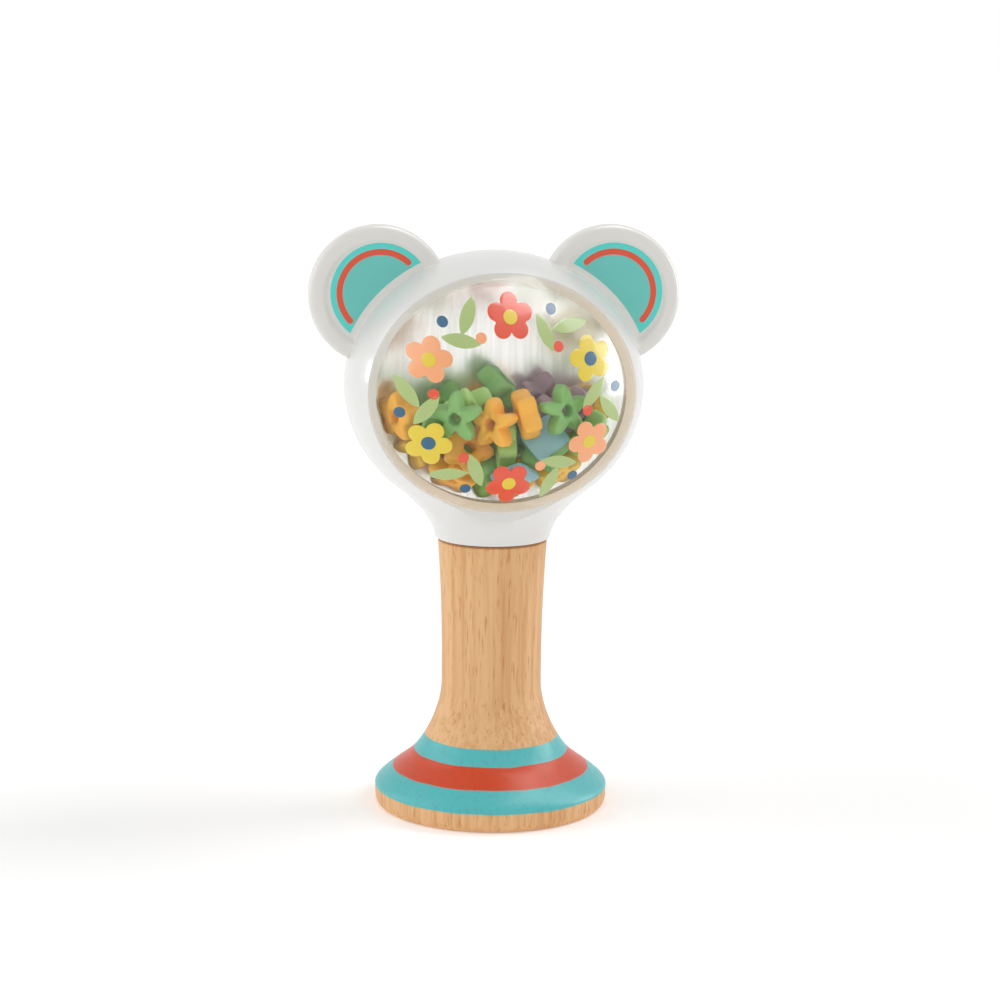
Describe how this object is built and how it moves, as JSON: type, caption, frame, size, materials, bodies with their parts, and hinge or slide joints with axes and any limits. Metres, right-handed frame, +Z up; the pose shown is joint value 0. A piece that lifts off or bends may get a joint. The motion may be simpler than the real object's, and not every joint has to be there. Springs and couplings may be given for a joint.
{
  "type": "baby maraca",
  "caption": "Hand rattle with a turned wooden handle and a hollow round head with two round ears; a clear window shows loose star and flower beads before a silvered dish.",
  "frame": {"origin": "centre of the foot's underside", "axes": "+Z up along the handle, -Y the way the window faces, +X towards the right ear"},
  "size_m": [0.0822, 0.0663, 0.131],
  "materials": {
    "beech": "satin beech, with painted bands on the foot",
    "white_plastic": "glossy white",
    "ear_plastic": "glossy warm white, painted inside the ear",
    "clear_plastic": "clear, with a printed garland",
    "silver": "silvered sheet, faintly streaked",
    "green_bead": "satin",
    "light_green_bead": "satin",
    "orange_bead": "satin",
    "amber_bead": "satin",
    "lilac_bead": "satin",
    "light_blue_bead": "satin"
  },
  "bodies": {
    "toy": {"handle": "beech", "front_shell": "white_plastic", "back_shell": "white_plastic", "left_ear": "ear_plastic", "right_ear": "ear_plastic", "mirror_dish": "silver", "dome": "clear_plastic"},
    "chip_01": {"chip_01": "light_blue_bead"},
    "chip_02": {"chip_02": "light_blue_bead"},
    "flower_01": {"flower_01": "green_bead"},
    "flower_02": {"flower_02": "light_green_bead"},
    "flower_03": {"flower_03": "green_bead"},
    "flower_04": {"flower_04": "light_green_bead"},
    "flower_05": {"flower_05": "orange_bead"},
    "flower_06": {"flower_06": "green_bead"},
    "flower_07": {"flower_07": "amber_bead"},
    "flower_08": {"flower_08": "lilac_bead"},
    "flower_09": {"flower_09": "orange_bead"},
    "flower_10": {"flower_10": "orange_bead"},
    "flower_11": {"flower_11": "green_bead"},
    "star_01": {"star_01": "amber_bead"},
    "star_02": {"star_02": "amber_bead"},
    "star_03": {"star_03": "orange_bead"},
    "star_04": {"star_04": "light_green_bead"},
    "star_05": {"star_05": "light_green_bead"},
    "star_06": {"star_06": "amber_bead"},
    "star_07": {"star_07": "green_bead"},
    "star_08": {"star_08": "lilac_bead"},
    "star_09": {"star_09": "orange_bead"},
    "star_10": {"star_10": "green_bead"},
    "star_11": {"star_11": "orange_bead"},
    "star_12": {"star_12": "green_bead"},
    "star_13": {"star_13": "green_bead"},
    "star_14": {"star_14": "lilac_bead"},
    "star_15": {"star_15": "green_bead"},
    "star_16": {"star_16": "light_green_bead"}
  },
  "joints": [
    {"name": "flower_11_hop", "type": "slide", "parent": "toy", "child": "flower_11", "axis": [0, 0, 1], "range_m": [0, 0.015]},
    {"name": "star_16_hop", "type": "slide", "parent": "toy", "child": "star_16", "axis": [0, 0, 1], "range_m": [0, 0.013]},
    {"name": "star_13_hop", "type": "slide", "parent": "toy", "child": "star_13", "axis": [0, 0, 1], "range_m": [0, 0.0129]},
    {"name": "star_08_hop", "type": "slide", "parent": "toy", "child": "star_08", "axis": [0, 0, 1], "range_m": [0, 0.0123]},
    {"name": "star_11_hop", "type": "slide", "parent": "toy", "child": "star_11", "axis": [0, 0, 1], "range_m": [0, 0.0115]},
    {"name": "star_14_hop", "type": "slide", "parent": "toy", "child": "star_14", "axis": [0, 0, 1], "range_m": [0, 0.0111]},
    {"name": "flower_08_hop", "type": "slide", "parent": "toy", "child": "flower_08", "axis": [0, 0, 1], "range_m": [0, 0.011]},
    {"name": "star_05_hop", "type": "slide", "parent": "toy", "child": "star_05", "axis": [0, 0, 1], "range_m": [0, 0.0084]},
    {"name": "flower_07_hop", "type": "slide", "parent": "toy", "child": "flower_07", "axis": [0, 0, 1], "range_m": [0, 0.008]},
    {"name": "star_04_hop", "type": "slide", "parent": "toy", "child": "star_04", "axis": [0, 0, 1], "range_m": [0, 0.0074]},
    {"name": "star_10_hop", "type": "slide", "parent": "toy", "child": "star_10", "axis": [0, 0, 1], "range_m": [0, 0.0073]},
    {"name": "star_07_hop", "type": "slide", "parent": "toy", "child": "star_07", "axis": [0, 0, 1], "range_m": [0, 0.007]},
    {"name": "star_09_hop", "type": "slide", "parent": "toy", "child": "star_09", "axis": [0, 0, 1], "range_m": [0, 0.0069]},
    {"name": "flower_02_hop", "type": "slide", "parent": "toy", "child": "flower_02", "axis": [0, 0, 1], "range_m": [0, 0.0066]},
    {"name": "flower_03_hop", "type": "slide", "parent": "toy", "child": "flower_03", "axis": [0, 0, 1], "range_m": [0, 0.0065]},
    {"name": "flower_04_hop", "type": "slide", "parent": "toy", "child": "flower_04", "axis": [0, 0, 1], "range_m": [0, 0.0065]},
    {"name": "chip_02_hop", "type": "slide", "parent": "toy", "child": "chip_02", "axis": [0, 0, 1], "range_m": [0, 0.0061]},
    {"name": "flower_06_hop", "type": "slide", "parent": "toy", "child": "flower_06", "axis": [0, 0, 1], "range_m": [0, 0.0061]},
    {"name": "flower_09_hop", "type": "slide", "parent": "toy", "child": "flower_09", "axis": [0, 0, 1], "range_m": [0, 0.0061]},
    {"name": "flower_05_hop", "type": "slide", "parent": "toy", "child": "flower_05", "axis": [0, 0, 1], "range_m": [0, 0.0057]},
    {"name": "star_15_hop", "type": "slide", "parent": "toy", "child": "star_15", "axis": [0, 0, 1], "range_m": [0, 0.0057]},
    {"name": "star_06_hop", "type": "slide", "parent": "toy", "child": "star_06", "axis": [0, 0, 1], "range_m": [0, 0.0049]},
    {"name": "flower_10_hop", "type": "slide", "parent": "toy", "child": "flower_10", "axis": [0, 0, 1], "range_m": [0, 0.0041]},
    {"name": "star_12_hop", "type": "slide", "parent": "toy", "child": "star_12", "axis": [0, 0, 1], "range_m": [0, 0.0034]},
    {"name": "star_01_hop", "type": "slide", "parent": "toy", "child": "star_01", "axis": [0, 0, 1], "range_m": [0, 0.0031]},
    {"name": "chip_01_hop", "type": "slide", "parent": "toy", "child": "chip_01", "axis": [0, 0, 1], "range_m": [0, 0.0029]},
    {"name": "star_03_hop", "type": "slide", "parent": "toy", "child": "star_03", "axis": [0, 0, 1], "range_m": [0, 0.0025]},
    {"name": "flower_01_hop", "type": "slide", "parent": "toy", "child": "flower_01", "axis": [0, 0, 1], "range_m": [0, 0.0024]},
    {"name": "star_02_hop", "type": "slide", "parent": "toy", "child": "star_02", "axis": [0, 0, 1], "range_m": [0, 0.0021]}
  ],
  "couplings": [
    {"joint": "star_16_hop", "follows": "flower_11_hop", "ratio": 0.866},
    {"joint": "star_13_hop", "follows": "flower_11_hop", "ratio": 0.854},
    {"joint": "star_08_hop", "follows": "flower_11_hop", "ratio": 0.818},
    {"joint": "star_11_hop", "follows": "flower_11_hop", "ratio": 0.766},
    {"joint": "star_14_hop", "follows": "flower_11_hop", "ratio": 0.74},
    {"joint": "flower_08_hop", "follows": "flower_11_hop", "ratio": 0.729},
    {"joint": "star_05_hop", "follows": "flower_11_hop", "ratio": 0.558},
    {"joint": "flower_07_hop", "follows": "flower_11_hop", "ratio": 0.532},
    {"joint": "star_04_hop", "follows": "flower_11_hop", "ratio": 0.489},
    {"joint": "star_10_hop", "follows": "flower_11_hop", "ratio": 0.481},
    {"joint": "star_07_hop", "follows": "flower_11_hop", "ratio": 0.464},
    {"joint": "star_09_hop", "follows": "flower_11_hop", "ratio": 0.455},
    {"joint": "flower_02_hop", "follows": "flower_11_hop", "ratio": 0.437},
    {"joint": "flower_03_hop", "follows": "flower_11_hop", "ratio": 0.429},
    {"joint": "flower_04_hop", "follows": "flower_11_hop", "ratio": 0.429},
    {"joint": "chip_02_hop", "follows": "flower_11_hop", "ratio": 0.403},
    {"joint": "flower_06_hop", "follows": "flower_11_hop", "ratio": 0.403},
    {"joint": "flower_09_hop", "follows": "flower_11_hop", "ratio": 0.403},
    {"joint": "flower_05_hop", "follows": "flower_11_hop", "ratio": 0.377},
    {"joint": "star_15_hop", "follows": "flower_11_hop", "ratio": 0.377},
    {"joint": "star_06_hop", "follows": "flower_11_hop", "ratio": 0.325},
    {"joint": "flower_10_hop", "follows": "flower_11_hop", "ratio": 0.273},
    {"joint": "star_12_hop", "follows": "flower_11_hop", "ratio": 0.221},
    {"joint": "star_01_hop", "follows": "flower_11_hop", "ratio": 0.204},
    {"joint": "chip_01_hop", "follows": "flower_11_hop", "ratio": 0.191},
    {"joint": "star_03_hop", "follows": "flower_11_hop", "ratio": 0.165},
    {"joint": "flower_01_hop", "follows": "flower_11_hop", "ratio": 0.154},
    {"joint": "star_02_hop", "follows": "flower_11_hop", "ratio": 0.138}
  ]
}
